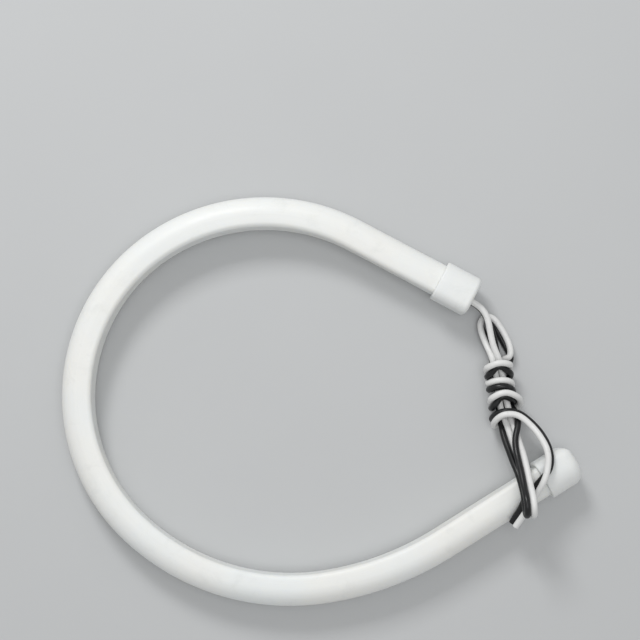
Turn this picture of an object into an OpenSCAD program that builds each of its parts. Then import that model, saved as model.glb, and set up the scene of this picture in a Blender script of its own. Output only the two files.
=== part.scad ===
// Flexible LED strip light for a car: a milky silicone tube bent into a C, closed by a cap at each end.
// A flexible circuit strip stands on edge against the tube's flat back, and its LEDs face the dome.
// The curve lies flat: X and Y span it, Z is up, and Z = 0 is the surface that the caps lie on.

/* [Tube] */
// Depth of the section, from the flat back to the top of the dome
tube_depth = 8.9; // [7.4:0.1:12]
// Width of the flat back, which stands upright here
tube_height = 10.4; // [8.6:0.1:12.6]
// Thickness of the silicone wall
tube_wall = 1.6; // [1.2:0.1:2]
// Rounding of the two edges of the flat back
back_edge_radius = 1.2; // [0.6:0.1:1.8]

/* [Curve] */
// Straight stretch at the lead end, cap included
lead_straight = 38; // [30:1:60]
// Straight stretch at the closed end, cap included
closed_straight = 43.2; // [32:0.2:60]
// Radius of the first bend, on the middle of the section
bend_1_radius = 54; // [40:1:90]
// Angle of the first bend
bend_1_angle = 62; // [40:1:75]
// Radius of the second bend
bend_2_radius = 51; // [40:1:90]
// Angle of the second bend
bend_2_angle = 103; // [70:1:124]
// Radius of the third bend
bend_3_radius = 64; // [45:1:100]
// Angle of the third bend
bend_3_angle = 51; // [30:1:65]
// Radius of the last bend
bend_4_radius = 88; // [60:1:120]
// Angle of the last bend
bend_4_angle = 24; // [10:1:30]

/* [Caps] */
// Thickness of a cap's sleeve round the tube
cap_wall = 1.2; // [0.8:0.1:1.8]
// Length of a cap along the tube
cap_length = 10.8; // [8:0.2:14]
// Thickness of a cap's end wall
cap_end_wall = 2; // [1.4:0.1:3]
// Clearance between a cap's sleeve and the tube
cap_clearance = 0.05; // [0.02:0.01:0.1]
// Rounding of the lead cap's outer edge
lead_cap_round = 1.2; // [0.4:0.1:2]
// Rounding of the closed cap's outer edge
closed_cap_round = 3.4; // [1:0.1:4]
// Depth of the shallow dish in the lead cap's end face
cap_dish_depth = 0.7; // [0.2:0.1:1]
// Width of the rim left round that dish
cap_rim = 1.7; // [1:0.1:2.4]
// Length of the sealant inside each cap
seal_length = 5; // [3:0.5:8]

/* [Circuit strip] */
// Thickness of the flexible circuit strip
strip_thickness = 0.3; // [0.2:0.05:0.5]
// Clearance between each long edge of the strip and the bore
strip_edge_gap = 0.6; // [0.5:0.1:1]
// Distance from the lead end's sealant to the strip
lead_room = 8.5; // [4:0.1:12]
// Distance from the strip to the closed end's sealant
strip_end_gap = 2.6; // [0.5:0.1:6]
// Number of LEDs
led_count = 18; // [3:3:24]
// Number of LEDs in a group, which shares one resistor
group_size = 3; // [3]
// Length of an LED along the strip
led_length = 3.5; // [2:0.1:4.2]
// Height of an LED across the strip
led_height = 2.8; // [1.6:0.1:3.4]
// Thickness of an LED
led_thickness = 1.4; // [0.8:0.1:1.9]
// Diameter of the round window in an LED's face
led_window = 2.2; // [1.2:0.1:2.4]
// Depth of that window
led_window_depth = 0.2; // [0.1:0.05:0.4]
// Length of a resistor along the strip
resistor_length = 3.2; // [1.6:0.1:3.8]
// Height of a resistor across the strip
resistor_height = 1.6; // [0.8:0.1:2]
// Thickness of a resistor
resistor_thickness = 0.6; // [0.4:0.05:0.8]

/* [Lead] */
// Outer diameter of one insulated wire
wire_diameter = 1.8; // [1.4:0.1:2.2]
// Clearance between the two wires, and round each in the cap's hole
wire_clearance = 0.04; // [0.02:0.01:0.15]
// Diameter of a wire's copper core
core_diameter = 0.8; // [0.5:0.1:1]
// Height of the wires above the strip's face
wire_lift = 0.4; // [0:0.1:0.8]
// Length of the copper that is soldered to the strip
solder_length = 3; // [2:0.1:4]
// Width of a solder joint
solder_width = 1.4; // [1.1:0.1:1.6]

/* [Hidden] */
// Point where the pair of wires leaves the cap's end face, and the tube's heading there, in degrees
lead_exit = [42.4, 27.8];
start_heading = 152;
$fn = 48;
// Fineness of the D-shaped section's arcs, and the largest turn between two rings of a sweep
dome_steps = 14;
corner_steps = 3;
ring_turn = 5;
// Length by which a cut runs past a face
cut_past = 1;
// Least radius of a corner that a clearance has made smaller
smallest_corner = 0.2;

// The section's middle is level with the middle of the caps, and x runs outward from it
mid_height = tube_height / 2 + cap_wall;
bore_depth = tube_depth - 2 * tube_wall;
bore_height = tube_height - 2 * tube_wall;
bore_corner = max(smallest_corner, back_edge_radius - tube_wall / 2);
strip_back = -bore_depth / 2;
strip_face = strip_back + strip_thickness;
strip_width = bore_height - 2 * strip_edge_gap;
wire_x = strip_face + wire_lift + wire_diameter / 2;
wire_side = (wire_diameter + wire_clearance) / 2;

// The curve as [length, radius] steps from the lead end, with radius 0 for a straight step.
// Each end's straight is parted at its cap's mouth.
function arc_length(radius, angle) = radius * angle * PI / 180;
curve = [
    [cap_length, 0],
    [lead_straight - cap_length, 0],
    [arc_length(bend_1_radius, bend_1_angle), bend_1_radius],
    [arc_length(bend_2_radius, bend_2_angle), bend_2_radius],
    [arc_length(bend_3_radius, bend_3_angle), bend_3_radius],
    [arc_length(bend_4_radius, bend_4_angle), bend_4_radius],
    [closed_straight - cap_length, 0],
    [cap_length, 0],
];
function length_before(step) = step == 0 ? 0 : length_before(step - 1) + curve[step - 1][0];
light_length = length_before(len(curve));

// Stations along the curve, measured from the lead cap's end face
tube_start = cap_end_wall;
tube_end = light_length - cap_end_wall;
lead_seal_end = tube_start + seal_length;
closed_seal_start = tube_end - seal_length;
strip_start = lead_seal_end + lead_room;
strip_end = closed_seal_start - strip_end_gap;
led_pitch = (strip_end - strip_start) / led_count;
resistor_count = led_count / group_size;

// A pose is [point, heading]. The curve turns left, and outward is to the right of the heading.
function outward(heading) = [sin(heading), -cos(heading)];
function ahead(heading) = [cos(heading), sin(heading)];
function turn_of(length, radius) = length / radius * 180 / PI;
function pose_after(pose, length, radius) =
    radius == 0
        ? [pose[0] + length * ahead(pose[1]), pose[1]]
        : let (heading = pose[1] + turn_of(length, radius))
            [pose[0] + radius * (outward(heading) - outward(pose[1])), heading];
function pose_along(pose, step, distance) =
    step == len(curve) - 1 || distance <= curve[step][0]
        ? pose_after(pose, distance, curve[step][1])
        : pose_along(
            pose_after(pose, curve[step][0], curve[step][1]), step + 1, distance - curve[step][0]
        );
start_pose = [lead_exit - wire_x * outward(start_heading), start_heading];
function pose_at(distance) = pose_along(start_pose, 0, distance);

function numbered(name, count) = [for (i = [1 : count]) str(name, "_", i < 10 ? "0" : "", i)];
led_names = numbered("led", led_count);
resistor_names = numbered("resistor", resistor_count);

// The lead's wires run side by side. A row is the middle of the pair, and then the way from there
// to the black wire, as a bearing in the XY plane and an angle of rise.
exit_route = [
    [42.4, 27.8, 6.4, 0, -90],
    [44.6, 26.4, 6.4, 0, -90],
    [46.3, 24.4, 6.1, 0, -90],
    [47.2, 22.2, 5.9, 0, -85],
];
// Over the light from the tied bundle, round the fold and back
legs_route = [
    [52.2, 0.5, 4.4, 0, -90],
    [53.9, -3.3, 5.4, 0, -20],
    [54.6, -7.0, 8.1, 45, 50],
    [54.6, -11.5, 10.2, 155, 40],
    [55.2, -15.8, 12.9, 185, 5],
    [55.8, -19.8, 15.7, 190, 0],
    [56.3, -23.8, 18.1, 190, 0],
    [56.6, -26.5, 20.4, 185, 0],
    [56.8, -28.9, 21.3, 185, 0],
    [57.0, -31.3, 19.7, 180, 0],
    [57.0, -31.3, 16.4, 180, 0],
    [56.9, -29.0, 14.7, 175, 0],
    [56.7, -26.6, 14.8, 190, 0],
    [56.2, -24.0, 14.7, 195, 0],
    [55.3, -20.3, 13.4, 195, 0],
    [54.2, -17.1, 11.3, 195, 0],
    [53.3, -13.9, 8.9, 195, 0],
    [52.3, -10.4, 6.9, 195, -10],
    [51.4, -6.6, 5.4, 200, -45],
    [50.5, -2.8, 4.6, 200, -75],
    [50.2, 0.5, 4.3, 0, -90],
];
// Under and over the bundle, over the closed cap and the light, and under the fold to the cut ends
tail_route = [
    [53.9, -1.4, 1.6, 130, 0],
    [51.6, -4.6, 1.0, 125, 0],
    [48.9, -6.4, 2.6, 110, 0],
    [48.6, -5.3, 6.0, 100, -35],
    [51.0, -3.6, 8.9, 83, -60],
    [54.9, -3.8, 8.9, 65, -65],
    [58.7, -6.7, 9.5, 30, -62],
    [61.3, -10.3, 11.9, 15, -60],
    [62.8, -14.4, 14.5, -8, -60],
    [62.7, -18.6, 14.9, -10, -60],
    [60.8, -22.4, 14.9, 120, -65],
    [58.8, -25.5, 13.2, 130, -35],
    [57.0, -28.1, 12.5, 150, -12],
    [56.0, -30.3, 12.2, 138, -33],
    [54.6, -32.6, 11.2, 131, -40],
    [53.4, -34.6, 10.2, 132, -45],
];
// Ends of the tied bundle's outline
hank_top = [49.2, 18.9];
hank_bottom = [51.4, 2.0];
hank_radius = 5;
hank_height = 8.6;

// Points of the D-shaped section, with its flat back at x = -depth / 2 and its dome towards +x
function arc_points(center, radius, from, to, steps) = [
    for (i = [0 : steps])
        let (angle = from + (to - from) * i / steps)
        center + radius * [cos(angle), sin(angle)]
];
function d_points(depth, height, corner) =
    let (
        corner_x = corner - depth / 2,
        corner_y = height / 2 - corner
    )
    concat(
        arc_points([depth / 2 - height / 2, 0], height / 2, 90, -90, dome_steps),
        arc_points([corner_x, -corner_y], corner, 270, 180, corner_steps),
        arc_points([corner_x, corner_y], corner, 180, 90, corner_steps)
    );

// The tube's outer outline, set out by a margin
function tube_points(margin = 0) =
    d_points(tube_depth + 2 * margin, tube_height + 2 * margin, back_edge_radius + margin);
bore_points = d_points(bore_depth, bore_height, bore_corner);

// Puts a child at a station: x is outward, y is ahead along the curve and z is up
module on_curve(station) {
    pose = pose_at(station);
    translate([pose[0].x, pose[0].y, mid_height]) rotate([0, 0, pose[1] - 90]) children();
}

// Extrudes a section ahead, from the station that it is put at
module ahead_by(length) {
    rotate([-90, 0, 0]) linear_extrude(length) children();
}

// Stations of the rings of a sweep: the ends of each straight step, and small turns round each bend
function ring_stations(from, to) = concat(
    [
        for (step = [0 : len(curve) - 1])
            let (
                radius = curve[step][1],
                low = max(from, length_before(step)),
                high = min(to, length_before(step + 1)),
                turns = radius == 0 ? 1 : ceil(turn_of(high - low, radius) / ring_turn)
            )
            if (high > low)
                for (i = [0 : turns - 1]) low + (high - low) * i / turns
    ],
    [to]
);
function ring_at(pose, section) = [
    for (point = section)
        let (place = pose[0] + point.x * outward(pose[1]))
        [place.x, place.y, mid_height + point.y]
];
function swept_rings(section, from, to) = [
    for (station = ring_stations(from, to)) ring_at(pose_at(station), section)
];

// Triangles round a stack of rings, which are numbered from a first point
function wall_faces(count, sides, first = 0) = [
    for (i = [0 : count - 2])
        for (k = [0 : sides - 1])
            let (a = first + i * sides + k, b = first + i * sides + (k + 1) % sides)
            for (face = [[a, b + sides, b], [a, a + sides, b + sides]]) face
];
function end_face(sides, first) = [for (k = [0 : sides - 1]) first + k];
function rim_faces(sides, outer, inner) = [
    for (k = [0 : sides - 1])
        let (next = (k + 1) % sides)
        for (face = [[outer + k, outer + next, inner + next], [outer + k, inner + next, inner + k]]) face
];
function reversed(face) = [for (i = [len(face) - 1 : -1 : 0]) face[i]];
function all_reversed(faces) = [for (face = faces) reversed(face)];
function all_points(rings) = [for (ring = rings) for (point = ring) point];

// Solid skin over rings with as many points each
module skin(rings) {
    sides = len(rings[0]);
    last = (len(rings) - 1) * sides;
    polyhedron(
        points = all_points(rings),
        faces = concat(
            wall_faces(len(rings), sides), [end_face(sides, 0), reversed(end_face(sides, last))]
        )
    );
}

// The same with a bore, whose rings match the outer ones
module hollow_skin(outer, inner) {
    sides = len(outer[0]);
    last = (len(outer) - 1) * sides;
    bore = len(outer) * sides;
    polyhedron(
        points = concat(all_points(outer), all_points(inner)),
        faces = concat(
            wall_faces(len(outer), sides),
            all_reversed(wall_faces(len(inner), sides, bore)),
            rim_faces(sides, 0, bore),
            all_reversed(rim_faces(sides, last, bore + last))
        )
    );
}

module diffuser_tube() {
    color("whitesmoke")
        hollow_skin(
            swept_rings(tube_points(), tube_start, tube_end),
            swept_rings(bore_points, tube_start, tube_end)
        );
}

// Solid of a cap with its outer end at y = 0, rounded by slices, and its sleeve towards +y
module cap_body(round_radius) {
    slices = 6;
    slice_length = 0.01;
    hull() {
        for (slice = [0 : slices]) {
            angle = slice * 90 / slices;
            margin = cap_wall - round_radius * (1 - sin(angle));
            translate([0, round_radius * (1 - cos(angle)), 0])
                ahead_by(slice_length)
                    polygon(
                        d_points(
                            tube_depth + 2 * margin,
                            tube_height + 2 * margin,
                            max(smallest_corner, back_edge_radius + margin)
                        )
                    );
        }
        translate([0, round_radius, 0]) ahead_by(cap_length - round_radius) polygon(tube_points(cap_wall));
    }
}

module cap_pocket() {
    translate([0, cap_end_wall, 0]) ahead_by(cap_length) polygon(tube_points(cap_clearance));
}

// Slot round both wires, one above the other
module wire_slot(radius, length) {
    ahead_by(length)
        translate([wire_x, 0]) {
            square([2 * radius, 2 * wire_side], center = true);
            for (side = [-1, 1])
                translate([0, side * wire_side]) circle(r = radius);
        }
}

module lead_cap() {
    color("gainsboro")
        on_curve(0)
            difference() {
                cap_body(lead_cap_round);
                cap_pocket();
                translate([0, -cut_past, 0])
                    ahead_by(cut_past + cap_dish_depth) polygon(tube_points(cap_wall - cap_rim));
                wire_slot(wire_diameter / 2 + wire_clearance, cap_end_wall + cut_past);
            }
}

module closed_cap() {
    color("gainsboro")
        on_curve(light_length)
            rotate([180, 0, 0])
                difference() {
                    cap_body(closed_cap_round);
                    cap_pocket();
                }
}

// Silicone that seals the bore round the wires
module lead_sealant() {
    color("white")
        on_curve(tube_start)
            difference() {
                ahead_by(seal_length) polygon(bore_points);
                translate([0, -cut_past, 0]) wire_slot(wire_diameter / 2, seal_length + 2 * cut_past);
            }
}

module closed_sealant() {
    color("white") on_curve(closed_seal_start) ahead_by(seal_length) polygon(bore_points);
}

module circuit_strip() {
    edge = strip_width / 2;
    section = [[strip_face, edge], [strip_face, -edge], [strip_back, -edge], [strip_back, edge]];
    color("ivory") skin(swept_rings(section, strip_start, strip_end));
}

// Package with a round window in its face
module led(index) {
    color("lemonchiffon")
        on_curve(strip_start + (index + 0.5) * led_pitch)
            difference() {
                translate([strip_face, -led_length / 2, -led_height / 2])
                    cube([led_thickness, led_length, led_height]);
                translate([strip_face + led_thickness - led_window_depth, 0, 0])
                    rotate([0, 90, 0]) cylinder(h = led_window_depth + cut_past, d = led_window);
            }
}

// Chip between the first two LEDs of each group
module resistor(index) {
    color("dimgray")
        on_curve(strip_start + (index * group_size + 1) * led_pitch)
            translate([strip_face, -resistor_length / 2, -resistor_height / 2])
                cube([resistor_thickness, resistor_length, resistor_height]);
}

// Side is 1 for the white wire above and -1 for the black wire below
module inner_wire(side) {
    on_curve(0)
        translate([wire_x, 0, side * wire_side]) ahead_by(strip_start) circle(d = wire_diameter);
}

module core_end(side) {
    color("peru")
        on_curve(strip_start)
            translate([wire_x, 0, side * wire_side]) ahead_by(solder_length) circle(d = core_diameter);
}

// Mound of solder from the strip's face to over the core
module solder(side) {
    color("silver")
        on_curve(strip_start)
            translate([0, 0, side * wire_side])
                ahead_by(solder_length)
                    difference() {
                        union() {
                            translate([wire_x, 0]) circle(d = solder_width);
                            translate([strip_face, -solder_width / 2])
                                square([wire_x - strip_face, solder_width]);
                        }
                        translate([wire_x, 0]) circle(d = core_diameter);
                    }
}

// Outline with round ends, as tall as the turns that tie the bundle
module lead_hank() {
    span = hank_bottom - hank_top;
    color("dimgray")
        linear_extrude(hank_height) {
            for (end = [hank_top, hank_bottom])
                translate(end) circle(r = hank_radius);
            translate(hank_top)
                rotate(atan2(span.y, span.x))
                    translate([0, -hank_radius]) square([norm(span), 2 * hank_radius]);
        }
}

// Unit vector from the middle of the pair to the black wire
function pair_side(row) =
    [cos(row[3]) * cos(row[4]), sin(row[3]) * cos(row[4]), sin(row[4])];
function wire_point(row, side) = [row[0], row[1], row[2]] - side * wire_side * pair_side(row);
function unit(v) = v / norm(v);

// Tube along a route's own points, with flat sides where the two wires lie against each other
module wire(route, side) {
    sides = 8;
    last = len(route) - 1;
    points = [for (row = route) wire_point(row, side)];
    skin([
        for (i = [0 : last])
            let (
                tangent = unit(points[min(i + 1, last)] - points[max(i - 1, 0)]),
                across = unit(cross(tangent, cross(pair_side(route[i]), tangent))),
                over = cross(tangent, across)
            )
            [
                for (k = [0 : sides - 1])
                    let (angle = (k + 0.5) * 360 / sides)
                    points[i] + wire_diameter / 2 * (cos(angle) * across + sin(angle) * over)
            ]
    ]);
}

diffuser_tube();
lead_cap();
closed_cap();
lead_sealant();
closed_sealant();
circuit_strip();
for (i = [0 : led_count - 1])
    led(i);
for (i = [0 : resistor_count - 1])
    resistor(i);
color("black") inner_wire(-1);  // black_inner_wire
color("white") inner_wire(1);  // white_inner_wire
core_end(-1);  // black_core
core_end(1);  // white_core
solder(-1);  // black_solder
solder(1);  // white_solder
lead_hank();
color("black") wire(exit_route, -1);  // black_exit
color("white") wire(exit_route, 1);  // white_exit
color("black") wire(legs_route, -1);  // black_legs
color("white") wire(legs_route, 1);  // white_legs
color("black") wire(tail_route, -1);  // black_tail
color("white") wire(tail_route, 1);  // white_tail
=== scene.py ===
"""The looks of an LED strip light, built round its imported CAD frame.

The light is a soft milky tube in an open curve, with a moulded cap on each end
and a twin lead that is folded and tied in a small hank between the two ends.
"""

import math

import bmesh
import bpy
import numpy as np
from bpy.props import FloatProperty, FloatVectorProperty, IntProperty, PointerProperty
from bpy.types import Operator, Panel, PropertyGroup
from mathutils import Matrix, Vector


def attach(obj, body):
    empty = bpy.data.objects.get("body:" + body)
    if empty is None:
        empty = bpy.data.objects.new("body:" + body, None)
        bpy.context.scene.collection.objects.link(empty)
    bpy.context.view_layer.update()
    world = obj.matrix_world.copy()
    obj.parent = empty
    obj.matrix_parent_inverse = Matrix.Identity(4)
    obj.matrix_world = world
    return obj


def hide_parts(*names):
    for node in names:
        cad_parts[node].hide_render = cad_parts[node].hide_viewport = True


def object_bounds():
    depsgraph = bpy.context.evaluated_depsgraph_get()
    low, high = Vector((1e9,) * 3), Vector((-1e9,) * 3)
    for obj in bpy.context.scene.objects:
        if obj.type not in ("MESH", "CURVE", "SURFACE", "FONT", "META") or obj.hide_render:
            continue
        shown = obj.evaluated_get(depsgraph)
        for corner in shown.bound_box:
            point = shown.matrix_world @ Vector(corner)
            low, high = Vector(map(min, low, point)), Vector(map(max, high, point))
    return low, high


bl_info = {
    "name": "LED strip light",
    "version": (1, 0, 0),
    "blender": (4, 5, 0),
    "location": "View3D > Sidebar > Strip light",
    "description": "Builds a curved LED strip light with its caps, inside parts and tied lead",
    "category": "Object",
}

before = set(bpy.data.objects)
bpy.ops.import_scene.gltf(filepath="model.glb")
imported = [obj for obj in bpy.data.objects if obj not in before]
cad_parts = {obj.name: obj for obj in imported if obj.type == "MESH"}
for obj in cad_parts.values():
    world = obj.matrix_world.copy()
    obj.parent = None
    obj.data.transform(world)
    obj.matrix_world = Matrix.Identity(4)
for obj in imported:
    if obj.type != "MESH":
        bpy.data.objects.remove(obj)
CAD_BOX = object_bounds()

BODY = "root"

# The curve's bends from the lead's end: radius in metres, and degrees turned
BENDS = ((0.054, 62), (0.051, 103), (0.064, 51), (0.088, 24))
# Length beside each cap over which the tube's roll and its hollow back fade out
FADE = 0.012
# The smallest corner that an outline keeps when it is drawn inwards
LEAST_CORNER = 0.0002
# How far inside its mouth a cap's skin starts
MOUTH_INSET = 0.0006
# Points round a cap and round a wire
CAP_SIDES = 112
WIRE_SIDES = 20
# Room between the strip's parts and the added pieces that stand on them
LIFT = 0.00001
# Height of the gel's dome as a share of its window's radius
DOME = 0.144 / 1.1

# The lead's route. Each row is the middle of the pair in metres, then the bearing and the
# rise, in degrees, of the line from there to the black wire.
EXIT_ROWS = (
    (0.0424, 0.0278, 0.0064, 0, -90),
    (0.0446, 0.0264, 0.0064, 0, -90),
    (0.0463, 0.0244, 0.0061, 0, -90),
    (0.0472, 0.0222, 0.0059, 0, -85),
)
FIRST_RUN_ROWS = (
    (0.0479, 0.0199, 0.0056, 0, -70),
    (0.0485, 0.0177, 0.0053, 0, -60),
    (0.0490, 0.0155, 0.0050, 0, -65),
    (0.0497, 0.0133, 0.0046, 0, -80),
    (0.0504, 0.0111, 0.0043, 0, -90),
    (0.0509, 0.0088, 0.0043, 0, -90),
    (0.0514, 0.0062, 0.0043, 0, -90),
    (0.0518, 0.0034, 0.0043, 0, -90),
)
LEGS_ROWS = (
    (0.0522, 0.0005, 0.0044, 0, -90),
    (0.0539, -0.0033, 0.0054, 0, -20),
    (0.0546, -0.0070, 0.0081, 45, 50),
    (0.0546, -0.0115, 0.0102, 155, 40),
    (0.0552, -0.0158, 0.0129, 185, 5),
    (0.0558, -0.0198, 0.0157, 190, 0),
    (0.0563, -0.0238, 0.0181, 190, 0),
    (0.0566, -0.0265, 0.0204, 185, 0),
    (0.0568, -0.0289, 0.0213, 185, 0),
    (0.0570, -0.0313, 0.0197, 180, 0),
    (0.0570, -0.0313, 0.0164, 180, 0),
    (0.0569, -0.0290, 0.0147, 175, 0),
    (0.0567, -0.0266, 0.0148, 190, 0),
    (0.0562, -0.0240, 0.0147, 195, 0),
    (0.0553, -0.0203, 0.0134, 195, 0),
    (0.0542, -0.0171, 0.0113, 195, 0),
    (0.0533, -0.0139, 0.0089, 195, 0),
    (0.0523, -0.0104, 0.0069, 195, -10),
    (0.0514, -0.0066, 0.0054, 200, -45),
    (0.0505, -0.0028, 0.0046, 200, -75),
    (0.0502, 0.0005, 0.0043, 0, -90),
)
SECOND_RUN_ROWS = (
    (0.0499, 0.0034, 0.0043, 0, -90),
    (0.0495, 0.0062, 0.0043, 0, -90),
    (0.0490, 0.0088, 0.0043, 0, -90),
)
TOP_FOLD_ROWS = (
    (0.0485, 0.0114, 0.0041, 0, -90),
    (0.0479, 0.0138, 0.0034, 0, -75),
    (0.0472, 0.0162, 0.0025, 0, -60),
    (0.0463, 0.0186, 0.0020, 0, -60),
    (0.0455, 0.0206, 0.0019, 0, -75),
    (0.0453, 0.0222, 0.0020, 0, -90),
    (0.0461, 0.0236, 0.0020, 0, -90),
    (0.0476, 0.0240, 0.0020, 0, -90),
    (0.0490, 0.0230, 0.0019, 225, -75),
    (0.0503, 0.0210, 0.0018, 215, -60),
    (0.0515, 0.0188, 0.0017, 205, -50),
    (0.0526, 0.0166, 0.0017, 195, -50),
    (0.0535, 0.0145, 0.0018, 190, -70),
    (0.0539, 0.0129, 0.0018, -60, -80),
    (0.0535, 0.0116, 0.0015, -60, -45),
    (0.0522, 0.0108, 0.0011, -65, -10),
)
# The turns round both runs come here, up to just past the last one's top. wrap_rows() works
# them out.
HALF_TWIST_ROWS = (
    (0.0537, 0.0009, 0.0076, 212, -32),
    (0.0550, 0.0004, 0.0062, 182, -10),
    (0.0555, -0.0004, 0.0044, 157, 0),
    (0.0553, -0.0012, 0.0027, 140, 8),
)
TAIL_ROWS = (
    (0.0539, -0.0014, 0.0016, 130, 0),
    (0.0516, -0.0046, 0.0010, 125, 0),
    (0.0489, -0.0064, 0.0026, 110, 0),
    (0.0486, -0.0053, 0.0060, 100, -35),
    (0.0510, -0.0036, 0.0089, 83, -60),
    (0.0549, -0.0038, 0.0089, 65, -65),
    (0.0587, -0.0067, 0.0095, 30, -62),
    (0.0613, -0.0103, 0.0119, 15, -60),
    (0.0628, -0.0144, 0.0145, -8, -60),
    (0.0627, -0.0186, 0.0149, -10, -60),
    (0.0608, -0.0224, 0.0149, 120, -65),
    (0.0588, -0.0255, 0.0132, 130, -35),
    (0.0570, -0.0281, 0.0125, 150, -12),
    (0.0560, -0.0303, 0.0122, 138, -33),
    (0.0546, -0.0326, 0.0112, 131, -40),
    (0.0534, -0.0346, 0.0102, 132, -45),
)
# The pair's turns round the bundle: place of the top along the bundle, how much lower the
# right end is than the left one, how far both ends hang below the top, and how far the black
# wire dips under the white one at the top, in degrees
TURNS = (
    (-0.0007, 0, 0.0017, 60),
    (0.0041, 0.0010, 0.0011, 0),
    (0.0077, -0.0006, 0.0020, 57),
)
# The bundle's middle line, which the turns go round
BUNDLE_TOP = Vector((0.05006, 0.00885, 0.0043))
BUNDLE_BOTTOM = Vector((0.05126, -0.00048, 0.0043))


def metres(name, description, default):
    """A size in metres for a property group."""
    return FloatProperty(
        name=name, description=description, default=default,
        min=0, unit="LENGTH", subtype="DISTANCE", precision=5,
    )


def position(name, description, default, precision=5):
    """A place in metres for a property group."""
    return FloatVectorProperty(
        name=name, description=description, default=default,
        size=3, unit="LENGTH", subtype="XYZ", precision=precision,
    )


def degrees(name, description, default):
    """An angle in degrees for a property group."""
    return FloatProperty(
        name=name, description=description, default=math.radians(default), subtype="ANGLE"
    )


def tint(name, description, default):
    """A linear colour for a property group."""
    return FloatVectorProperty(
        name=name, description=description, default=default, size=3, min=0, max=1, subtype="COLOR"
    )


class TubeSizes(PropertyGroup):
    """Sizes of the tube and of the curve that it lies in."""

    depth: metres("Depth", "From the flat back to the crown of the dome", 0.0089)
    height: metres("Height", "Width of the flat back", 0.0104)
    wall: metres("Wall", "Thickness of the tube's wall", 0.0016)
    back_corner: metres("Back corner", "Radius of the two edges of the flat back", 0.0012)
    lead_straight: metres("Lead straight", "Straight length at the lead's end", 0.038)
    closed_straight: metres("Closed straight", "Straight length at the closed end", 0.0432)
    start: position(
        "Start", "Middle of the section at the lead cap's end", (0.042987, 0.028904, 0.0064), 6
    )
    heading: degrees("Heading", "Way that the curve starts off, round from the X axis", 152)
    ring_step: metres("Ring step", "Distance between two rings of the tube's skin", 0.0014)
    roll: degrees("Roll", "How far the soft tube rolls to and fro along its length", 1.6)
    sink: metres("Sink", "Shallow hollow along the flat back, as it shrinks in the die", 0.00012)
    crown: FloatProperty(
        name="Crown", description="Share by which the sides close in from the dome to the back",
        default=0.08, min=0, max=0.3, subtype="FACTOR",
    )


class CapSizes(PropertyGroup):
    """Sizes of the two moulded caps."""

    wall: metres("Wall", "Thickness of a cap's sleeve", 0.0012)
    length: metres("Length", "Length of a cap along the tube", 0.0108)
    end_wall: metres("End wall", "Thickness of a cap's closed end", 0.002)
    lead_round: metres("Lead cap round", "Radius of the lead cap's outer edge", 0.0012)
    closed_round: metres("Closed cap round", "Radius of the closed cap's end", 0.0034)
    mouth_round: metres("Mouth round", "Radius of the sleeve's outer edge at its mouth", 0.00045)
    dish_depth: metres("Dish depth", "Depth of the lead cap's dished end", 0.0007)
    rim: metres("Rim", "Width of the rim round the dish", 0.0017)
    seal_length: metres("Seal length", "Length of the sealant behind a cap's end", 0.005)


class LeadSizes(PropertyGroup):
    """Sizes of the two wires and of the hank that they are tied in."""

    wire: metres("Wire", "Thickness of one insulated wire", 0.0018)
    gap: metres("Gap", "Room between the two wires", 0.00004)
    core: metres("Core", "Thickness of the stranded copper core", 0.0008)
    length: metres("Length", "Length of each wire outside the cap", 0.277)
    wrap_radius: metres("Wrap radius", "From the bundle's middle to the pair round it", 0.0034)
    wrap_lift: metres("Wrap lift", "How far a tilted turn stands up over the bundle", 0.0008)
    wrap_steps: IntProperty(name="Steps", description="Points in one turn", default=16, min=12)


class InsideSizes(PropertyGroup):
    """Sizes of the circuit strip and its parts."""

    strip_thickness: metres("Strip thickness", "Thickness of the circuit strip", 0.0003)
    strip_edge_gap: metres("Strip edge gap", "Room beside each edge of the strip", 0.0006)
    lead_room: metres("Lead room", "From the lead's sealant to the strip", 0.0085)
    strip_end_gap: metres("Strip end gap", "From the strip to the closed end's sealant", 0.0026)
    led_count: IntProperty(name="LEDs", description="Number of LEDs", default=18, min=1)
    led_thickness: metres("LED thickness", "Height of an LED on the strip", 0.0014)
    led_window: metres("LED window", "Width of an LED's round window", 0.0022)
    led_window_depth: metres("LED window depth", "Depth of the window's floor", 0.0002)
    led_length: metres("LED length", "Length of an LED along the strip", 0.0035)
    led_width: metres("LED width", "Width of an LED across the strip", 0.0028)
    group_size: IntProperty(name="Group", description="LEDs to a resistor", default=3, min=1)
    resistor_length: metres("Resistor length", "Length of a resistor along the strip", 0.0032)
    resistor_width: metres("Resistor width", "Width of a resistor across the strip", 0.0016)
    resistor_thickness: metres("Resistor thickness", "Height of a resistor on the strip", 0.0006)
    plating: metres("Plating", "Thickness of the plated terminals", 0.00003)


class Colours(PropertyGroup):
    """Colours of the light's finishes."""

    silicone: tint("Silicone", "Milky silicone of the tube", (0.86, 0.885, 0.875))
    silicone_warm: tint("Warm silicone", "Warmer patches in the tube", (0.885, 0.885, 0.85))
    cap: tint("Cap", "Moulded silicone of the caps", (0.84, 0.862, 0.855))
    grime: tint("Grime", "Dust and finger marks on the silicone", (0.56, 0.58, 0.57))
    black_wire: tint("Black wire", "Black insulation", (0.006, 0.0065, 0.007))
    white_wire: tint("White wire", "White insulation", (0.80, 0.80, 0.79))
    copper: tint("Copper", "Bare copper strands", (0.80, 0.42, 0.24))
    solder: tint("Solder", "Solder joints and terminals", (0.62, 0.63, 0.64))
    mask: tint("Solder mask", "White face of the circuit strip", (0.83, 0.84, 0.82))
    phosphor: tint("Phosphor", "Yellow phosphor in an LED's window", (0.86, 0.66, 0.10))
    package: tint("Package", "White package of an LED", (0.86, 0.85, 0.80))
    resistor: tint("Resistor", "Black glaze of a resistor", (0.012, 0.012, 0.014))
    sealant: tint("Sealant", "Sealant inside the caps", (0.76, 0.77, 0.76))


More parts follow.
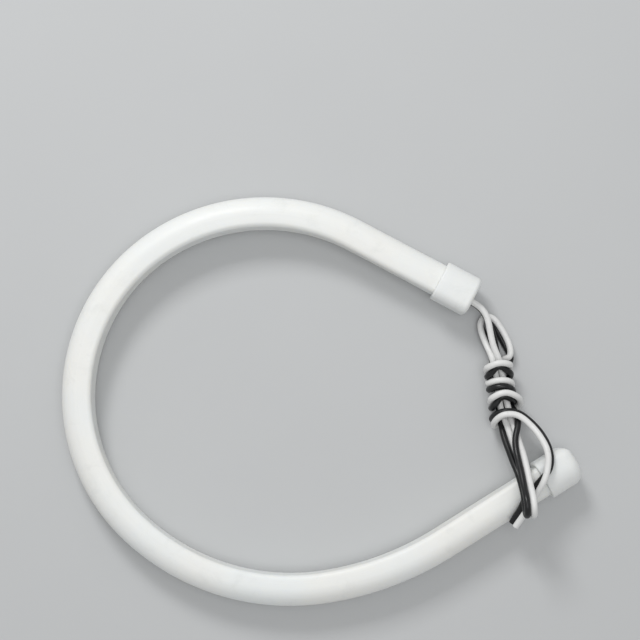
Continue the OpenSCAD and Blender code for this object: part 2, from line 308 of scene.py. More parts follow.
class StageLook(PropertyGroup):
    """Camera, lamps and floor."""

    eye: position("Eye", "Place of the camera", (-0.00036, -0.0051, 0.4491))
    target: position("Target", "Point in the middle of the picture", (-0.00036, 0.02303, 0))
    lens: FloatProperty(name="Lens", description="Focal length", default=88.34, min=1, unit="CAMERA")
    floor: tint("Floor", "Colour of the floor", (0.56, 0.57, 0.575))
    sky: FloatProperty(
        name="Sky", description="Strength of the even light all round", default=0.45, min=0, max=1
    )
    key: FloatProperty(
        name="Key", description="Power of the upper left lamp", default=2.2, min=0, unit="POWER"
    )
    fill: FloatProperty(
        name="Fill", description="Power of the overhead lamp", default=2.2, min=0, unit="POWER"
    )


def tube_sizes():
    return bpy.context.scene.strip_tube


def cap_sizes():
    return bpy.context.scene.strip_caps


def lead_sizes():
    return bpy.context.scene.strip_lead


def inside_sizes():
    return bpy.context.scene.strip_inside


def colours():
    return bpy.context.scene.strip_colours


# Finishes


class Finish:
    """A material round one Principled shader, with short calls for its texture nodes."""

    def __init__(self, name, roughness, **settings):
        self.material = bpy.data.materials.new(name)
        self.material.use_nodes = True
        self.tree = self.material.node_tree
        self.shader = self.tree.nodes["Principled BSDF"]
        self.shader.inputs["Roughness"].default_value = roughness
        for socket, value in settings.items():
            self.shader.inputs[socket.replace("_", " ")].default_value = value
        place = self.tree.nodes.new("ShaderNodeTexCoord")
        self.place = place.outputs["Object"]
        self.height = None

    def node(self, kind, inputs, **settings):
        """A node whose inputs are set to values, or linked where the value is a socket."""
        made = self.tree.nodes.new(kind)
        for setting, value in settings.items():
            setattr(made, setting, value)
        for socket, value in inputs.items():
            if isinstance(value, bpy.types.NodeSocket):
                self.tree.links.new(value, made.inputs[socket])
            else:
                made.inputs[socket].default_value = value
        return made

    def noise(self, size, detail=3, place=None, roughness=0.55, distortion=0.0):
        """Cloudy pattern whose largest marks are about size metres wide."""
        return self.node(
            "ShaderNodeTexNoise",
            {
                "Vector": place or self.place,
                "Scale": 1 / size,
                "Detail": detail,
                "Roughness": roughness,
                "Distortion": distortion,
            },
        ).outputs["Fac"]

    def cells(self, size):
        """Distance to the nearest of scattered points, which lie about size metres apart."""
        inputs = {"Vector": self.place, "Scale": 1 / size}
        return self.node("ShaderNodeTexVoronoi", inputs).outputs["Distance"]

    def stretched(self, place, scale):
        """Coordinates that are scaled by three numbers."""
        return self.node("ShaderNodeMapping", {"Vector": place, "Scale": scale}).outputs["Vector"]

    def uv(self):
        """Distance along a swept piece and round it, in metres."""
        return self.node("ShaderNodeUVMap", {}, uv_map="Sweep").outputs["UV"]

    def between(self, value, low, high, to_low=0.0, to_high=1.0):
        """Maps low to high of a value onto another range, and clamps it there."""
        inputs = {"Value": value, "From Min": low, "From Max": high, "To Min": to_low, "To Max": to_high}
        return self.node("ShaderNodeMapRange", inputs).outputs["Result"]

    def math(self, operation, first, second=0.0):
        return self.node("ShaderNodeMath", {0: first, 1: second}, operation=operation).outputs["Value"]

    def mixed(self, factor, first, second):
        """Two colours mixed by a factor."""
        made = self.node("ShaderNodeMix", {"Factor": factor}, data_type="RGBA")
        for socket, value in ((6, first), (7, second)):
            if isinstance(value, bpy.types.NodeSocket):
                self.tree.links.new(value, made.inputs[socket])
            else:
                made.inputs[socket].default_value = (*value, 1)
        return made.outputs[2]

    def colour(self, socket):
        self.tree.links.new(socket, self.shader.inputs["Base Color"])

    def roughness(self, pattern, low, high, smooth, rough):
        """Goes from smooth to rough as a pattern goes from low to high."""
        roughness = self.between(pattern, low, high, smooth, rough)
        self.tree.links.new(roughness, self.shader.inputs["Roughness"])

    def bumped(self, height, depth, strength=1.0):
        """Adds relief that is depth metres deep, on top of what the shader already has."""
        inputs = {"Height": height, "Distance": depth, "Strength": strength}
        if self.height is not None:
            inputs["Normal"] = self.height
        self.height = self.node("ShaderNodeBump", inputs).outputs["Normal"]
        for link in list(self.shader.inputs["Normal"].links):
            self.tree.links.remove(link)
        self.tree.links.new(self.height, self.shader.inputs["Normal"])


def soft_silicone(finish, weight, scale):
    """Lets light into the silicone for a short way."""
    finish.shader.inputs["Subsurface Weight"].default_value = weight
    finish.shader.inputs["Subsurface Radius"].default_value = (1.0, 0.95, 0.85)
    finish.shader.inputs["Subsurface Scale"].default_value = scale
    finish.shader.inputs["IOR"].default_value = 1.41


def tube_silicone():
    """Extruded milky silicone: fine lines along it, cloudy tone, dust and finger marks."""
    look = colours()
    finish = Finish("extruded_silicone", 0.42)
    soft_silicone(finish, 0.3, 0.0022)
    along = finish.uv()
    cloud = finish.noise(0.03, 2)
    base = finish.mixed(finish.between(cloud, 0.35, 0.65), look.silicone, look.silicone_warm)
    lines = finish.noise(1, 3, finish.stretched(along, (9, 2600, 1)), 0.7)
    smudge = finish.noise(0.007, 5, roughness=0.7, distortion=0.6)
    marks = finish.between(smudge, 0.54, 0.76, 0.0, 0.22)
    dust = finish.between(finish.cells(0.0011), 0.035, 0.09, 0.32, 0.0)
    patchy = finish.between(finish.noise(0.012, 2), 0.5, 0.62)
    base = finish.mixed(marks, base, look.grime)
    base = finish.mixed(finish.math("MULTIPLY", dust, patchy), base, look.grime)
    base = finish.mixed(finish.between(lines, 0.4, 0.75, 0.0, 0.06), base, look.grime)
    finish.colour(base)
    finish.roughness(finish.noise(0.009, 4), 0.3, 0.7, 0.36, 0.52)
    finish.bumped(lines, 0.00002, 0.5)
    finish.bumped(finish.noise(0.0006, 2), 0.000012, 0.4)
    finish.bumped(finish.noise(0.018, 1), 0.00025, 0.35)
    return finish.material


def cap_silicone():
    """Moulded silicone: a little denser than the tube, with a satin grain."""
    look = colours()
    finish = Finish("moulded_silicone", 0.46)
    soft_silicone(finish, 0.22, 0.0018)
    smudge = finish.noise(0.006, 5, roughness=0.7, distortion=0.5)
    cloud = finish.between(finish.noise(0.011, 3), 0.35, 0.65, 0.0, 0.35)
    base = finish.mixed(cloud, look.cap, look.silicone_warm)
    base = finish.mixed(finish.between(smudge, 0.53, 0.75, 0.0, 0.22), base, look.grime)
    specks = finish.between(finish.cells(0.0014), 0.03, 0.08, 0.35, 0.0)
    patchy = finish.between(smudge, 0.45, 0.6)
    base = finish.mixed(finish.math("MULTIPLY", specks, patchy), base, look.grime)
    finish.colour(base)
    finish.roughness(smudge, 0.3, 0.7, 0.4, 0.56)
    finish.bumped(finish.noise(0.00035, 2), 0.000012, 0.5)
    finish.bumped(finish.noise(0.006, 2), 0.00012, 0.3)
    return finish.material


def insulation(name, base, scuff, scuff_share, grain):
    """Drawn insulation of one wire: faint lines along it, scuffs and a waxy gloss."""
    finish = Finish(name, 0.4, Coat_Weight=0.06, Coat_Roughness=0.25)
    finish.shader.inputs["Specular IOR Level"].default_value = 0.42
    along = finish.uv()
    lines = finish.noise(1, 2, finish.stretched(along, (40, 3800, 1)), 0.6)
    scuffs = finish.noise(0.0035, 5, roughness=0.75, distortion=1.2)
    worn = finish.between(scuffs, 0.55, 0.75, 0.0, scuff_share)
    tone = finish.between(finish.noise(0.02, 2), 0.3, 0.7, 0.0, 0.25)
    finish.colour(finish.mixed(worn, finish.mixed(tone, base, grain), scuff))
    finish.roughness(scuffs, 0.35, 0.75, 0.3, 0.58)
    finish.bumped(lines, 0.000015, 0.5)
    finish.bumped(finish.noise(0.0009, 3), 0.00002, 0.4)
    return finish.material


def black_insulation():
    scuff, grain = (0.09, 0.095, 0.1), (0.012, 0.013, 0.014)
    return insulation("black_insulation", colours().black_wire, scuff, 0.3, grain)


def white_insulation():
    scuff, grain = (0.42, 0.42, 0.41), (0.72, 0.73, 0.72)
    return insulation("white_insulation", colours().white_wire, scuff, 0.35, grain)


def metal(name, base, tarnish, roughness, size):
    """Bare metal with tarnished patches and fine drawn scratches."""
    finish = Finish(name, roughness, Metallic=1.0)
    patches = finish.noise(size, 4, roughness=0.65)
    finish.colour(finish.mixed(finish.between(patches, 0.42, 0.68), base, tarnish))
    finish.roughness(patches, 0.3, 0.7, roughness - 0.08, roughness + 0.2)
    finish.bumped(finish.noise(size / 5, 3), size / 60, 0.5)
    return finish.material


def copper():
    return metal("bare_copper", colours().copper, (0.45, 0.20, 0.10), 0.3, 0.0008)


def solder():
    return metal("solder", colours().solder, (0.40, 0.41, 0.42), 0.34, 0.0012)


def strip_mask():
    """White solder mask over copper tracks, which show as faint raised bands along the strip."""
    finish = Finish("white_solder_mask", 0.38, Coat_Weight=0.2, Coat_Roughness=0.2)
    height = finish.node("ShaderNodeSeparateXYZ", {"Vector": finish.place}).outputs["Z"]
    across = finish.math("ABSOLUTE", finish.math("SUBTRACT", height, tube_sizes().start[2]))
    rail = finish.between(across, 0.00135, 0.0015)
    margin = finish.between(across, 0.0027, 0.0028, 1.0, 0.0)
    track = finish.math("MULTIPLY", rail, margin)
    haze = finish.between(finish.noise(0.004, 4), 0.35, 0.7, 0.0, 0.3)
    face = finish.mixed(haze, colours().mask, (0.74, 0.75, 0.71))
    finish.colour(finish.mixed(finish.math("MULTIPLY", track, 0.35), face, (0.80, 0.71, 0.52)))
    finish.roughness(finish.noise(0.002, 3), 0.3, 0.7, 0.32, 0.46)
    finish.bumped(track, 0.00003, 0.8)
    finish.bumped(finish.noise(0.0005, 2), 0.000008, 0.4)
    return finish.material


def moulded_plastic(name, base, shade, roughness, size):
    """Plain moulded or glazed part with a fine grain and a slightly uneven tone."""
    finish = Finish(name, roughness)
    tone = finish.noise(size, 4)
    finish.colour(finish.mixed(finish.between(tone, 0.35, 0.7), base, shade))
    finish.roughness(tone, 0.3, 0.7, roughness - 0.06, roughness + 0.12)
    finish.bumped(finish.noise(size / 6, 2), size / 90, 0.4)
    return finish.material


def led_package():
    return moulded_plastic("led_package", colours().package, (0.78, 0.77, 0.72), 0.4, 0.0014)


def resistor_glaze():
    return moulded_plastic("resistor_glaze", colours().resistor, (0.03, 0.03, 0.034), 0.3, 0.001)


def phosphor():
    """Clear gel full of yellow phosphor grains."""
    finish = Finish("phosphor_gel", 0.3, Coat_Weight=0.6, Coat_Roughness=0.08)
    grains = finish.noise(0.00018, 4, roughness=0.8)
    pale = (0.93, 0.80, 0.30)
    finish.colour(finish.mixed(finish.between(grains, 0.35, 0.7), colours().phosphor, pale))
    finish.roughness(grains, 0.3, 0.7, 0.22, 0.4)
    finish.bumped(grains, 0.00001, 0.5)
    return finish.material


def cap_sealant():
    """Cured sealant, cloudy with small bubbles."""
    finish = Finish("cap_sealant", 0.34)
    soft_silicone(finish, 0.3, 0.002)
    cloud = finish.noise(0.003, 4)
    bubbles = finish.between(finish.cells(0.0009), 0.08, 0.16, 1.0, 0.0)
    face = finish.mixed(finish.between(cloud, 0.35, 0.7), colours().sealant, (0.84, 0.84, 0.82))
    finish.colour(finish.mixed(finish.math("MULTIPLY", bubbles, 0.4), face, (0.9, 0.9, 0.89)))
    finish.roughness(cloud, 0.3, 0.7, 0.28, 0.42)
    finish.bumped(bubbles, 0.00003, 0.5)
    return finish.material


def floor_finish(base):
    """Plain pale floor with the faintest mottle."""
    finish = Finish("pale_floor", 0.85)
    finish.shader.inputs["Specular IOR Level"].default_value = 0.2
    darker = [0.985 * part for part in base]
    finish.colour(finish.mixed(finish.between(finish.noise(0.05, 3), 0.3, 0.7), base, darker))
    return finish.material


# Meshes


def piece_from(name, vertices, faces, uvs, finish, smooth=True):
    """A piece that rides on the light, from points in metres and faces.

    uvs has one pair of numbers for each vertex of each face."""
    mesh = bpy.data.meshes.new(name)
    mesh.from_pydata([tuple(v) for v in vertices], [], faces)
    mesh.materials.append(finish)
    layer = mesh.uv_layers.new(name="Sweep")
    layer.data.foreach_set("uv", np.asarray(uvs, float).ravel())
    mesh.polygons.foreach_set("use_smooth", [smooth] * len(faces))
    mesh.validate()
    turned = bmesh.new()
    turned.from_mesh(mesh)
    bmesh.ops.recalc_face_normals(turned, faces=turned.faces)
    turned.to_mesh(mesh)
    turned.free()
    piece = bpy.data.objects.new(name, mesh)
    bpy.context.scene.collection.objects.link(piece)
    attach(piece, BODY)
    return piece


def distances(points):
    """How far each point of a row lies along it."""
    return np.concatenate([[0], np.cumsum(np.linalg.norm(np.diff(points, axis=0), axis=1))])


def resampled(points, at, wanted):
    """Points of a row at the wanted distances, where at has the distances of its own."""
    return np.stack([np.interp(wanted, at, column) for column in points.T], axis=1)


def ring_skin(rings, first=0, lengths=None):
    """Faces, and their places along and round the skin, over rings with as many points each."""
    sides, count = len(rings[0]), len(rings)
    if lengths is None:
        lengths = distances(np.mean(rings, axis=1))
    round_it = distances(np.vstack([rings[count // 2], rings[count // 2][:1]]))
    faces, uvs = [], []
    for i in range(count - 1):
        for k in range(sides):
            near, far, n = first + i * sides, first + (i + 1) * sides, (k + 1) % sides
            faces.append([near + k, far + k, far + n, near + n])
            corners = ((i, k), (i + 1, k), (i + 1, k + 1), (i, k + 1))
            uvs += [(lengths[along], round_it[across]) for along, across in corners]
    return faces, uvs


def closed_skin(rings, first):
    """A skin over rings, with its first and last ring filled."""
    sides = len(rings[0])
    faces, uvs = ring_skin(rings, first)
    for row in (0, len(rings) - 1):
        faces.append([first + row * sides + k for k in range(sides)])
        uvs.extend([(0, 0)] * sides)
    return faces, uvs


def skinned_piece(name, parts, finish, smooth=True):
    """One piece from closed skins, each over rings of its own."""
    vertices, faces, uvs = [], [], []
    for rings in parts:
        made, places = closed_skin(rings, len(vertices))
        vertices.extend(np.vstack(rings))
        faces.extend(made)
        uvs.extend(places)
    piece = piece_from(name, vertices, faces, uvs, finish, smooth)
    return piece


def unit(rows):
    """Rows of numbers, each scaled to length 1."""
    return rows / np.linalg.norm(rows, axis=-1, keepdims=True)


def circle(radius, sides, across, up):
    """Points of a circle, counted from its middle."""
    angles = 2 * math.pi * np.arange(sides) / sides
    return radius * (np.outer(np.cos(angles), across) + np.outer(np.sin(angles), up))


# The curve that the light lies in


def curve_steps():
    """The curve as (length, radius) steps from the lead's end. Straight steps have radius 0."""
    tube = tube_sizes()
    return [
        (tube.lead_straight, 0),
        *((radius * math.radians(angle), radius) for radius, angle in BENDS),
        (tube.closed_straight, 0),
    ]


def light_length():
    return sum(length for length, _ in curve_steps())


def outward(heading):
    return np.array([math.sin(heading), -math.cos(heading), 0])


def ahead(heading):
    return np.array([math.cos(heading), math.sin(heading), 0])


def pose_at(station):
    """Middle of the section at a station from the lead cap's end, and the curve's heading there."""
    tube = tube_sizes()
    place, heading = np.array(tube.start), tube.heading
    steps = curve_steps()
    for index, (length, radius) in enumerate(steps):
        part = station if index == len(steps) - 1 else min(station, length)
        if radius:
            turned = heading + part / radius
            place = place + radius * (outward(turned) - outward(heading))
            heading = turned
        else:
            place = place + part * ahead(heading)
        station -= part
        if station <= 0 and part < length:
            break
    return place, heading


def arc(middle, radius, start, end, steps):
    """Points of an arc, from one angle in degrees to another."""
    angles = np.radians(np.linspace(start, end, steps + 1))
    return [np.array(middle) + radius * np.array([math.cos(a), math.sin(a)]) for a in angles]


def d_outline(margin=0.0, depth=None, height=None, corner=None, sink=0.0):
    """Outline of the D-shaped section, with its flat back at the low end of x."""
    tube = tube_sizes()
    depth = (tube.depth if depth is None else depth) + 2 * margin
    height = (tube.height if height is None else height) + 2 * margin
    corner = max(LEAST_CORNER, (tube.back_corner if corner is None else corner) + margin)
    near_x, near_y = corner - depth / 2, height / 2 - corner
    dome_x = (depth - height) / 2
    dome_steps, side_steps, corner_steps, back_steps = 30, 7, 6, 6
    shares = [2 * i / back_steps - 1 for i in range(1, back_steps)]
    back = [np.array([-depth / 2 + sink * (1 - share**2), near_y * share]) for share in shares]
    side = [np.array([x, -height / 2]) for x in np.linspace(dome_x, near_x, side_steps + 1)[1:-1]]
    outline = np.array(
        arc((dome_x, 0), height / 2, 90, -90, dome_steps)
        + side
        + arc((near_x, -near_y), corner, 270, 180, corner_steps)
        + back
        + arc((near_x, near_y), corner, 180, 90, corner_steps)
        + [point * (1, -1) for point in side[::-1]]
    )
    past_dome = np.maximum(0, (dome_x - outline[:, 0]) / (dome_x + depth / 2))
    outline[:, 1] *= 1 - tube.crown * past_dome**2
    return outline


def placed(outline, station, roll=0.0):
    """A section's outline put at a station along the curve, and rolled round its middle."""
    place, heading = pose_at(station)
    turn = np.array([[math.cos(roll), -math.sin(roll)], [math.sin(roll), math.cos(roll)]])
    points = outline @ turn.T
    return place + points[:, :1] * outward(heading) + points[:, 1:] * np.array([0, 0, 1])


def even_points(outline, count):
    """A closed outline as count points, evenly spaced from its first point."""
    loop = np.vstack([outline, outline[:1]])
    at = distances(loop)
    return resampled(loop, at, np.linspace(0, at[-1], count, endpoint=False))


# Pieces


def strand_lines():
    """Middle lines of the white and the black wire, as smooth lines with even steps."""
    sizes = lead_sizes()
    rows = [
        *EXIT_ROWS,
        *FIRST_RUN_ROWS,
        *LEGS_ROWS,
        *SECOND_RUN_ROWS,
        *TOP_FOLD_ROWS,
        *wrap_rows(),
        *HALF_TWIST_ROWS,
        *TAIL_ROWS,
    ]
    side = (sizes.wire + sizes.gap) / 2
    line = smooth_line(np.array([[*row[:3], *to_black(row)] for row in rows]))
    forward = unit(np.gradient(line[:, :3], axis=0))
    across = line[:, 3:] - (line[:, 3:] * forward).sum(axis=1, keepdims=True) * forward
    across = unit(across) * side
    lines = {"white": line[:, :3] - across, "black": line[:, :3] + across}
    for points in lines.values():
        points[:, 2] = np.maximum(points[:, 2], sizes.wire / 2)
    return lines


def to_black(row):
    """Direction from the pair's middle to the black wire."""
    bearing, rise = math.radians(row[3]), math.radians(row[4])
    return math.cos(bearing) * math.cos(rise), math.sin(bearing) * math.cos(rise), math.sin(rise)


def wrap_rows():
    """Rows of the turns: under the bundle from right to left, and back over it."""
    sizes = lead_sizes()
    down = (BUNDLE_BOTTOM - BUNDLE_TOP).normalized()
    right = Vector((-down.y, down.x, 0))
    bearing = math.degrees(math.atan2(down.y, down.x))
    first_slope = 0.0026
    half_turn = sizes.wrap_steps // 2
    side = (sizes.wire + sizes.gap) / 2
    rows = []
    for step in range(half_turn // 2, len(TURNS) * sizes.wrap_steps - half_turn // 2 + 2):
        turn, part = divmod(step, sizes.wrap_steps)
        top, slant, hang, dip = TURNS[turn]
        left_end = top + hang - slant / 2
        angle = 2 * math.pi * part / sizes.wrap_steps
        share = part / half_turn
        rise = max(0, -math.sin(angle))
        tilt = math.radians(dip) * rise
        if part > half_turn:
            along = left_end + slant * (share - 1) - hang * rise**1.5
        elif turn:
            last_top, last_slant, last_hang, _ = TURNS[turn - 1]
            last_end = last_top + last_hang + last_slant / 2
            along = last_end + (left_end - last_end) * share**0.75
        else:
            along = left_end - first_slope * (1 - share)
        aside = right * sizes.wrap_radius * math.cos(angle)
        middle = BUNDLE_TOP + down * (along - side * (1 - math.cos(tilt))) + aside
        height = middle.z - sizes.wrap_radius * math.sin(angle) + sizes.wrap_lift * math.sin(tilt)
        rows.append((middle.x, middle.y, height, bearing, -math.degrees(tilt)))
    return rows


def smooth_line(points):
    """A smooth line through points, in even steps. A point's first three numbers are its place."""
    step, shares, rounds = 0.0004, 10, 10
    whole = np.vstack([2 * points[0] - points[1], points, 2 * points[-1] - points[-2]])
    line = []
    for four in zip(whole, whole[1:], whole[2:], whole[3:]):
        gaps = [np.linalg.norm((b - a)[:3]) for a, b in zip(four, four[1:])]
        knots = np.cumsum([0] + [gap**0.5 for gap in gaps])
        for knot in np.linspace(knots[1], knots[2], shares, endpoint=False):
            line.append(spline_point(four, knots, knot))
    line = np.array([*line, points[-1]])
    at = distances(line[:, :3])
    line = resampled(line, at, np.linspace(0, at[-1], round(at[-1] / step) + 1))
    for _ in range(rounds):
        line[1:-1] = (line[:-2] + 2 * line[1:-1] + line[2:]) / 4
    return line


def spline_point(points, knots, knot):
    """The point at a knot of the curve through four points, between the second and the third."""

    def blend(first, second, start, end):
        return ((end - knot) * first + (knot - start) * second) / (end - start)

    level = list(points)
    for width in (1, 2):
        pairs = enumerate(zip(level, level[1:]))
        level = [blend(*pair, knots[i], knots[i + width]) for i, pair in pairs]
    return blend(*level, knots[1], knots[2])


def round_rings(line, radii, sides):
    """Rings of a round wire along a line, kept from twisting. Each point has a radius."""
    forward = unit(np.gradient(line, axis=0))
    up = np.array([0.0, 0.0, 1.0]) if abs(forward[0][2]) < 0.9 else np.array([1.0, 0.0, 0.0])
    rings = []
    for point, way, radius in zip(line, forward, radii):
        up = unit(up - (up @ way) * way)
        rings.append(point + circle(radius, sides, np.cross(way, up), up))
    return np.array(rings), forward


def wire_strand(name, line, finish, replaced):
    """One insulated wire, open at its far end onto its copper core."""
    sizes = lead_sizes()
    thinning, bevel, recess = 0.012, 0.93, 0.0006
    at = np.arange(len(line))
    # Two slow waves of different lengths, so that the drawn insulation never repeats
    uneven = 1 - thinning * (1 + np.sin(at * 0.071 + len(name)) * np.sin(at * 0.023))
    radii = sizes.wire / 2 * uneven
    rings, forward = round_rings(line, radii, WIRE_SIDES)
    hole = sizes.core / 2 * 1.06
    last, way = line[-1], forward[-1]
    edge = last + (rings[-1] - last) * bevel + way * 0.00002
    face = last + (rings[-1] - last) * (hole / radii[-1]) + way * 0.00001
    floor = face - way * recess
    start = line[0] + (rings[0] - line[0]) * (hole / radii[0])
    start_floor = start + forward[0] * recess
    piece = skinned_piece(name, [[start_floor, start, *rings, edge, face, floor]], finish)
    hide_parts(*replaced)
    core = copper_core(name.replace("wire", "cut_core"), line, forward[-1])
    return piece


def copper_core(name, line, way):
    """Seven twisted copper strands that show in the cut end of a wire: six round the last one."""
    fine = lead_sizes().core / 6.2
    back, proud, twist, steps, sides = 0.0008, 0.00012, 0.5, 8, 8
    up = unit(np.array([0.0, 0.0, 1.0]) - way[2] * way)
    aside = np.cross(way, up)
    parts = []
    for strand in range(7):
        reach = 0 if strand == 6 else 2.02 * fine
        ahead_of_cut = proud * (0.4 + 0.6 * ((strand * 5) % 7) / 7)
        points = []
        for step in range(steps + 1):
            share = step / steps
            angle = math.pi / 3 * strand + twist * share
            out = reach * (math.cos(angle) * aside + math.sin(angle) * up)
            points.append(line[-1] + way * (-back + (back + ahead_of_cut) * share) + out)
        rings, _ = round_rings(np.array(points), [fine] * steps + [fine * 0.75], sides)
        parts.append(rings)
    return skinned_piece(name, parts, copper())


def milky_tube():
    """The tube: a D-shaped skin with its bore, soft enough to roll and swell a little."""
    tube, caps, whole = tube_sizes(), cap_sizes(), light_length()
    unevenness = 0.00004
    start, end = caps.end_wall, whole - caps.end_wall
    stations = np.linspace(start, end, round((end - start) / tube.ring_step) + 1)
    inner_depth, inner_height = tube.depth - 2 * tube.wall, tube.height - 2 * tube.wall
    bore = d_outline(depth=inner_depth, height=inner_height, corner=tube.back_corner - tube.wall / 2)
    outer_rings, bore_rings = [], []
    for station in stations:
        free = min(1, max(0, (min(station, whole - station) - caps.length) / FADE))
        # Pairs of slow waves, so that neither the roll nor the swell repeats
        roll_wave = math.sin(station * 61) * math.sin(station * 23 + 1)
        swell_wave = math.sin(station * 37 + 2) * math.sin(station * 13)
        section = d_outline(-unevenness * free * (1 + swell_wave), sink=tube.sink * free)
        outer_rings.append(placed(section, station, tube.roll * free * roll_wave))
        bore_rings.append(placed(bore, station))
    sides = len(bore)
    outer, outer_uvs = ring_skin(outer_rings, lengths=stations)
    offset = len(outer_rings) * sides
    inner, inner_uvs = ring_skin(bore_rings, first=offset, lengths=stations)
    faces, uvs = outer + inner, outer_uvs + inner_uvs
    for row in (0, len(stations) - 1):
        rim, bore_rim = row * sides, offset + row * sides
        for k in range(sides):
            n = (k + 1) % sides
            faces.append([rim + k, rim + n, bore_rim + n, bore_rim + k])
            uvs.extend([(stations[row], 0)] * 4)
    points = np.vstack(outer_rings + bore_rings)
    piece = piece_from("milky_tube", points, faces, uvs, tube_silicone())
    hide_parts("diffuser_tube")
    return piece


def cap_profile(end_round):
    """(distance from its end, margin) down the outside of a cap, from its mouth to its end."""
    caps = cap_sizes()
    length, wall, mouth = caps.length, caps.wall, caps.mouth_round
    profile = [
        (length - MOUTH_INSET, 0.00004),
        (length - 0.00012, 0.00005),
        (length, 0.0002),
        (length, wall - mouth - 0.0001),
    ]
    for angle in quarter_turn(4):
        profile.append((length - mouth * (1 - math.cos(angle)), wall - mouth * (1 - math.sin(angle))))
    straight = end_round - length + mouth
    for share in (0.2, 0.4, 0.6, 0.8):
        profile.append((length - mouth + straight * share, wall))
    for angle in quarter_turn(10):
        profile.append((end_round * (1 - math.sin(angle)), wall - end_round * (1 - math.cos(angle))))
    return profile


def quarter_turn(steps):
    """Angles from 0 to a right angle."""
    return [math.pi / 2 * i / steps for i in range(steps + 1)]


def cap_outline(margin):
    """Outline of a cap that is margin metres larger than the tube."""
    return even_points(d_outline(margin), CAP_SIDES)


def cap_rings(profile, station_of):
    """Rings of a cap's skin from its profile."""
    return [placed(cap_outline(margin), station_of(distance)) for distance, margin in profile]


def slot_reach(angle, half, radius):
    """From the middle of an upright slot with round ends to its edge."""
    c, s = abs(math.cos(angle)), abs(math.sin(angle))
    if c > 1e-9 and s * radius / c <= half:
        return radius / c
    return half * s + math.sqrt(max(0.0, radius**2 - (half * c) ** 2))


def lead_end_cap():
    """The cap at the lead's end, dished round the slot that the wires leave by."""
    caps, lead = cap_sizes(), lead_sizes()
    off_strip, play = 0.0004, 0.00004
    lip, depth = caps.wall - caps.rim, caps.dish_depth
    # Past the end's outer edge, a soft rim leads over into the dish
    profile = [
        *cap_profile(caps.lead_round),
        (0.00003, lip * 0.75),
        (0.00012, lip),
        (depth * 0.8, lip - 0.00008),
        (depth, lip - 0.0003),
    ]
    rings = cap_rings(profile, lambda distance: distance)
    dish = cap_outline(profile[-1][1])
    wire_x = strip_face() + off_strip + lead.wire / 2
    half, radius = (lead.wire + lead.gap) / 2, lead.wire / 2 + play
    hole = []
    for x, y in dish:
        angle = math.atan2(y, x - wire_x)
        reach = slot_reach(angle, half, radius)
        hole.append((wire_x + reach * math.cos(angle), reach * math.sin(angle)))
    hole = np.array(hole)
    # Share of the way from the dish's edge to the slot's, and depth below the dish
    for share, distance in ((0.5, 0.0), (0.85, 0.0), (0.97, 0.00003), (1.0, 0.00012), (1.0, 0.001)):
        rings.append(placed(dish * (1 - share) + hole * share, depth + distance))
    return moulded_cap("lead_end_cap", rings, "lead_cap")


def closed_end_cap():
    """The cap at the closed end, rounded over."""
    whole = light_length()
    profile = cap_profile(cap_sizes().closed_round)
    rings = cap_rings(profile, lambda distance: whole - distance)
    last = cap_outline(profile[-1][1])
    for scale in (0.8, 0.5, 0.2):
        rings.append(placed(last * scale, whole))
    return moulded_cap("closed_end_cap", rings, "closed_cap")


def moulded_cap(name, rings, node):
    """A cap from its rings, with its sleeve's inside and its last ring closed."""
    piece = skinned_piece(name, [[deeper(rings), *rings]], cap_silicone())
    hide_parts(node)
    return piece


def deeper(rings):
    """The inside of a cap's sleeve where it meets the end wall."""
    caps = cap_sizes()
    to_end = unit(rings[0].mean(axis=0) - rings[3].mean(axis=0))
    return rings[0] + to_end * (caps.length - MOUTH_INSET - caps.end_wall)


def strip_face():
    """Where the strip's face stands in the section."""
    tube, inside = tube_sizes(), inside_sizes()
    return -(tube.depth - 2 * tube.wall) / 2 + inside.strip_thickness


def led_stations():
    """Where the LEDs stand along the curve."""
    caps, inside = cap_sizes(), inside_sizes()
    start = caps.end_wall + caps.seal_length + inside.lead_room
    end = light_length() - caps.end_wall - caps.seal_length - inside.strip_end_gap
    pitch = (end - start) / inside.led_count
    return [start + (i + 0.5) * pitch for i in range(inside.led_count)], pitch


def resistor_stations():
    """Where the resistors stand: in each group, between its first two LEDs."""
    stations, pitch = led_stations()
    return [station + pitch / 2 for station in stations[:: inside_sizes().group_size]]


def block_rings(start, end, x_low, x_high, half_width, chamfer):
    """Rings of a chamfered block that stands on the strip, from one station to another."""

    def ring(station, inset):
        low, high, half, cut = x_low + inset, x_high - inset, half_width - inset, chamfer
        corners = [
            (high - cut, half), (high, half - cut), (high, cut - half), (high - cut, -half),
            (low + cut, -half), (low, cut - half), (low, half - cut), (low + cut, half),
        ]
        return placed(np.array(corners), station)

    return [ring(start, chamfer), ring(start + chamfer, 0), ring(end - chamfer, 0), ring(end, chamfer)]


def window_rings(station):
    """Rings of the domed gel in an LED's window, from its rim to near its middle."""
    inside = inside_sizes()
    place, heading = pose_at(station)
    floor = strip_face() + inside.led_thickness - inside.led_window_depth
    radius, sides = inside.led_window / 2, 24
    rings = []
    for share in (0.995, 0.9, 0.7, 0.45, 0.2):
        x = floor + LIFT + DOME * radius * (1 - share**2)
        loop = circle(share * radius, sides, ahead(heading), (0, 0, 1))
        rings.append(place + x * outward(heading) + loop)
    return rings


